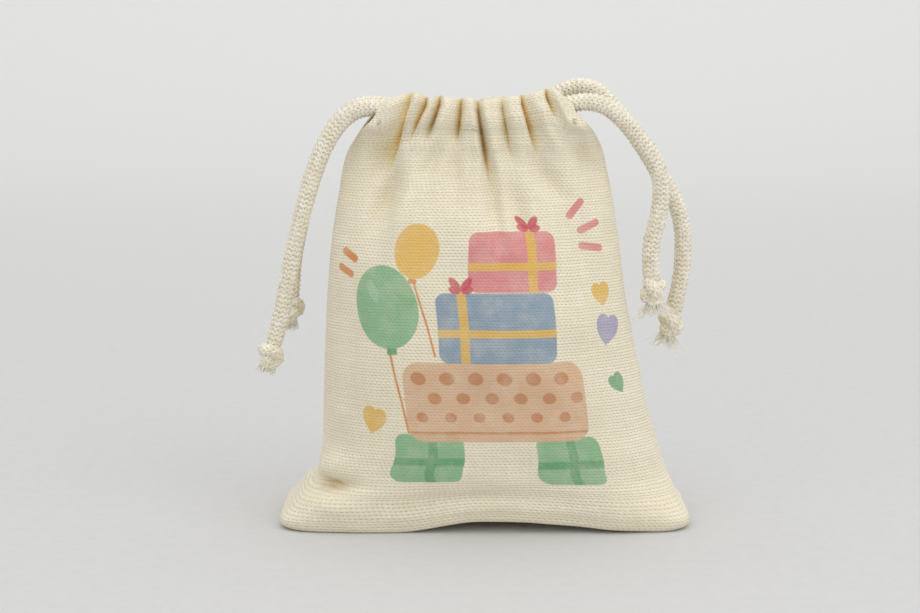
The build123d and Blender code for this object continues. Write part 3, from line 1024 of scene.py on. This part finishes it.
class PouchCloth(bpy.types.PropertyGroup):
    warp_pitch: number_property("Warp pitch", "Distance between upright threads, in millimetres", 0.59, 0.2)
    weft_pitch: number_property("Weft pitch", "Distance between level threads, in millimetres", 0.80, 0.2)
    colour: colour_property("Cloth", "Natural cotton", srgb(229, 220, 196))
    light: colour_property("Light thread", "The palest threads", srgb(241, 234, 213))
    shade: colour_property("Thread gaps", "Between the threads", srgb(176, 160, 124))
    patch: colour_property("Patches", "Slow change of tone over the cloth", srgb(226, 215, 188))
    fleck: colour_property("Flecks", "Bits of seed in the cotton", srgb(150, 124, 88))
    # Painted shade: these two warm colours stand in for the shade and warm bounced light in the pleats and
    # hollows.
    crease_shade: colour_property("Creases", "Warm tint in the pleats", srgb(255, 240, 196))
    crevice_shade: colour_property("Crevices", "Warm dark tint deep in the pleats", srgb(250, 214, 138))


class PouchCord(bpy.types.PropertyGroup):
    diameter: number_property("Diameter", "Thickness of the cord", 4.5 * MM, unit="LENGTH")
    strands: bpy.props.IntProperty(name="Strands", description="Yarns in the braid", default=16, min=8)
    pitch: number_property("Pitch", "Length in which a strand goes once round", 10.5 * MM, unit="LENGTH")
    colour: colour_property("Cord", "Cotton yarn", srgb(242, 236, 218))
    light: colour_property("Light yarn", "The palest yarn", srgb(250, 245, 232))
    shade: colour_property("Yarn shade", "Between the plies", srgb(230, 220, 195))


class PouchStudio(bpy.types.PropertyGroup):
    floor: colour_property("Floor", "Pale painted floor", srgb(199, 199, 199))
    wall: colour_property("Wall", "Slightly paler paint", srgb(229, 229, 228))
    ambient: number_property("Ambient", "Strength of the even light", 0.84)
    key: number_property("Key", "Power of the soft light at the left", 1.8)
    fill: number_property("Fill", "Power of the soft light at the right", 4.2)
    top: number_property("Top", "Power of the soft light above", 7.2)


GROUPS = {"pouch_cloth": PouchCloth, "pouch_cord": PouchCord, "pouch_studio": PouchStudio}
CAMERA_PLACE, CAMERA_LENS = (-6.7, -516.3, 135.6), 74.35  # millimetres
CAMERA_DROP = 8.5  # degrees that the camera looks down


# ---- operators -------------------------------------------------------------------
class POUCH_OT_camera(bpy.types.Operator):
    """Adds the camera in front of the pouch"""

    bl_idname = "pouch.camera"
    bl_label = "Camera"

    def execute(self, context):
        data = bpy.data.cameras.new("camera")
        data.lens = CAMERA_LENS
        data.sensor_width = 36.0
        camera = bpy.data.objects.new("camera", data)
        context.collection.objects.link(camera)
        camera.location = Vector(CAMERA_PLACE) * MM
        camera.rotation_euler = (math.radians(90 - CAMERA_DROP), 0, 0)
        context.scene.camera = camera
        return {"FINISHED"}


class POUCH_OT_cords(bpy.types.Operator):
    """Adds the four braided cord ends with their knots and frayed tufts"""

    bl_idname = "pouch.cords"
    bl_label = "Cord ends"

    def execute(self, context):
        cord = context.scene.pouch_cord
        radius = cord.diameter / 2
        material = cord_material("braided cotton", cord)
        fluff = fluff_material("frayed cotton", cord)
        for seed, name in enumerate(ROUTES, 3):
            side = name.split("_")[0]
            line = spline_points(cord_route(name))
            path, length = even(line, 0.6e-3)
            parts = MeshParts()
            braid(parts, line, radius, cord.strands, cord.pitch,
                  squeeze=lambda x: 1 - CHANNEL_SQUEEZE * ramp(0.5, 6, inside(x / MM, side)))
            fuzz(parts, line[len(line) // 3:], radius, LOOSE_FIBRES, np.random.default_rng(seed + 40))
            piece = parts.build(f"{name}_braided_cord", material)
            along = path[-1] - path[-2]
            along /= np.linalg.norm(along)
            knot = knot_piece(f"{name}_tied_knot", path[-1], along, seed, material)
            end = path[-1] + along * KNOT_LENGTH * MM
            tuft = tuft_piece(f"{name}_frayed_end", end, along, seed + 20, fluff, *TUFTS[name])
            for obj, nodes in ((piece, ("run", "tail")), (knot, ("knot",)), (tuft, ("tuft",))):
                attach(obj, f"{name}_end")
                stand_for(obj, "cotton_cord", *[f"{name}_{node}" for node in nodes])
        return {"FINISHED"}


class POUCH_OT_loops(bpy.types.Operator):
    """Adds the loop that each cord makes around the other side, in two halves"""

    bl_idname = "pouch.loops"
    bl_label = "Cord loops"

    def execute(self, context):
        cord = context.scene.pouch_cord
        material = bpy.data.materials["braided cotton"]
        for name, way, edge in (("left", 1, RIGHT_EDGE), ("right", -1, LEFT_EDGE)):
            for face, toward in (("front", -1), ("back", 1)):
                node = f"{name}_cord_{face}_loop"
                low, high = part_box(node)
                z = (low[2] + high[2]) / 2 / MM
                start = (low[0] if way > 0 else high[0]) / MM
                reach = float(curve(edge, z)) - way * LOOP_INSET
                y = toward * INSIDE_Y
                places = [(start, y), ((start + reach) / 2, y), (reach - way * 9, y), (reach - way * 4, y),
                          (reach, y * 0.9), (reach, y * 0.4), (reach, 0)]
                line = spline_points([Vector((x, depth, z)) * MM for x, depth in places])
                parts = MeshParts()
                braid(parts, line, LOOP_SHARE * cord.diameter / 2, cord.strands, cord.pitch)
                piece = parts.build(f"{name}_loop_{face}_half", material)
                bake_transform(piece)
                stand_for(piece, "cotton_cord", node)
        return {"FINISHED"}


class POUCH_OT_panels(bpy.types.Operator):
    """Adds the front and back sheets of canvas, each with its gathered channel"""

    bl_idname = "pouch.panels"
    bl_label = "Canvas panels"

    def execute(self, context):
        cloth = context.scene.pouch_cloth
        printed = canvas_material("printed canvas", cloth, motif)
        plain = canvas_material("plain canvas", cloth, None)
        for sheet, material in zip(SHEETS, (printed, plain)):
            obj = cloth_sheet(sheet, material)
            blend_to_rim(obj)
            stand_for(obj, "cotton_canvas", f"{sheet.face}_panel", f"{sheet.face}_channel")
        return {"FINISHED"}


class POUCH_OT_seams(bpy.types.Operator):
    """Adds the seam allowances inside the pouch, turned inwards, with their stitches"""

    bl_idname = "pouch.seams"
    bl_label = "Seams"

    def execute(self, context):
        canvas = bpy.data.materials["plain canvas"]
        thread = thread_material("sewing thread", context.scene.pouch_cloth)
        heights = np.linspace(5, 100.5, 60)
        for name, edge, way in (("left", LEFT_EDGE, 1), ("right", RIGHT_EDGE, -1)):
            line = np.stack([curve(edge, heights) + way * SEAM_INSET, -curve(SEAM_LEAN, heights), heights], 1)
            add_seam(name, f"{name}_side_seam", line, np.array([way, 0, 0]), 6.5, 0.8, canvas, thread)
        across = np.linspace(-48.5, 48.5, 64)
        line = np.stack([across, across * 0, across * 0 + 1.4], 1)
        add_seam("bottom", "bottom_seam", line, np.array([0, 0, 1]), 5.6, 1.2, canvas, thread)
        return {"FINISHED"}


class POUCH_OT_channel_stitches(bpy.types.Operator):
    """Adds the stitches that close each channel and the bar tack at each of its ends"""

    bl_idname = "pouch.channel_stitches"
    bl_label = "Channel stitches"

    def execute(self, context):
        thread = bpy.data.materials["sewing thread"]
        for sheet in SHEETS:
            face, side = sheet.face, sheet.side
            z = HEM + STITCH_RISE
            x, y, _ = section(z, sheet)
            keep = (x > x[0] + STITCH_CLEAR) & (x < x[-1] - STITCH_CLEAR)
            row = np.stack([x[keep], y[keep] + side * 0.06, np.full(keep.sum(), z)], 1)
            stitches = stitch_row(f"{face}_channel_thread", row, (0, side, 0), thread)
            pieces = [(stitches, f"{face}_channel_stitches")]
            for end, place in TACKS:
                tack = bar_tack(f"{face}_{end}_bar_tack", place, sheet, thread)
                pieces.append((tack, f"{face}_{end}_tack"))
            for obj, node in pieces:
                blend_to_rim(obj)
                stand_for(obj, "sewing_thread", node)
        return {"FINISHED"}


def choose_edges(obj, test):
    """Selects the edges whose two ends both pass a test, in edit mode."""
    bpy.ops.mesh.select_all(action="DESELECT")
    bpy.ops.object.mode_set(mode="OBJECT")
    for edge in obj.data.edges:
        edge.select = all(test(obj.data.vertices[i].co) for i in edge.vertices)
    bpy.ops.object.mode_set(mode="EDIT")


STAGE_SIZE, STAGE_MIDDLE, STAGE_HEIGHT, STAGE_BEND = 6, -1.2, 3, 0.9  # metres


class POUCH_OT_stage(bpy.types.Operator):
    """Adds the floor, the wall and the lights"""

    bl_idname = "pouch.stage"
    bl_label = "Stage"

    def execute(self, context):
        studio = context.scene.pouch_studio
        deselect()
        bpy.ops.mesh.primitive_plane_add(size=STAGE_SIZE, location=(0, STAGE_MIDDLE, 0))
        floor = context.active_object
        floor.name = "floor"
        bpy.ops.object.transform_apply(location=True, rotation=True, scale=True)
        bpy.ops.object.mode_set(mode="EDIT")
        bpy.ops.mesh.select_mode(type="EDGE")
        choose_edges(floor, lambda end: end.y > 1.5)
        bpy.ops.mesh.extrude_region_move(TRANSFORM_OT_translate={"value": (0, 0, STAGE_HEIGHT)})
        choose_edges(floor, lambda end: end.y > 1.5 and end.z < 0.1)
        bpy.ops.mesh.bevel(offset=STAGE_BEND, segments=24, affect="EDGES")
        bpy.ops.object.mode_set(mode="OBJECT")
        smooth_faces(floor)
        nodes = Nodes("painted sweep")
        place = nodes.place()
        colour = nodes.mix(nodes.spread(nodes.split(place)[1], 0.1, 1.6), studio.floor[:], studio.wall[:])
        grain = nodes.noise(place, 260.0, 3.0)
        colour = nodes.mix(nodes.spread(grain, 0.3, 0.7, 0.0, 0.08), colour, studio.wall[:])
        floor.data.materials.append(nodes.finish(Base_Color=colour, Roughness=0.75))
        world = bpy.data.worlds.new("studio")
        world.use_nodes = True
        background = world.node_tree.nodes["Background"]
        background.inputs[0].default_value = (1.0, 0.995, 0.985, 1.0)
        background.inputs[1].default_value = studio.ambient
        context.scene.world = world
        for name, place, size, power in (
            ("key", (-0.75, -0.95, 1.05), 1.1, studio.key),
            ("fill", (0.95, -0.8, 0.7), 1.2, studio.fill),
            ("top", (0.0, 0.1, 1.5), 1.4, studio.top),
        ):
            data = bpy.data.lights.new(name, "AREA")
            data.size = size
            data.energy = power
            lamp = bpy.data.objects.new(name, data)
            context.collection.objects.link(lamp)
            lamp.location = place
            aim = Vector((0, 0, RIM * MM / 2)) - Vector(place)
            lamp.rotation_euler = aim.to_track_quat("-Z", "Y").to_euler()
        context.scene.view_settings.view_transform = "Standard"
        return {"FINISHED"}


class POUCH_PT_panel(bpy.types.Panel):
    """Lists the pieces of the pouch"""

    bl_idname = "POUCH_PT_panel"
    bl_label = "Drawstring pouch"
    bl_space_type = "VIEW_3D"
    bl_region_type = "UI"
    bl_category = "Pouch"

    def draw(self, context):
        for operator in OPERATORS:
            self.layout.operator(operator.bl_idname)
        for name, group in GROUPS.items():
            box = self.layout.box()
            for key in group.__annotations__:
                box.prop(getattr(context.scene, name), key)


OPERATORS = (
    POUCH_OT_camera, POUCH_OT_cords, POUCH_OT_loops, POUCH_OT_panels, POUCH_OT_seams,
    POUCH_OT_channel_stitches, POUCH_OT_stage,
)


def register():
    for group in GROUPS.values():
        bpy.utils.register_class(group)
    for name, group in GROUPS.items():
        setattr(bpy.types.Scene, name, bpy.props.PointerProperty(type=group))
    for operator in OPERATORS:
        bpy.utils.register_class(operator)
    bpy.utils.register_class(POUCH_PT_panel)


def unregister():
    bpy.utils.unregister_class(POUCH_PT_panel)
    for operator in reversed(OPERATORS):
        bpy.utils.unregister_class(operator)
    for name, group in GROUPS.items():
        delattr(bpy.types.Scene, name)
        bpy.utils.unregister_class(group)


def main():
    register()
    for operator in OPERATORS:
        area, action = operator.bl_idname.split(".")
        getattr(getattr(bpy.ops, area), action)()


if __name__ == "__main__":
    main()
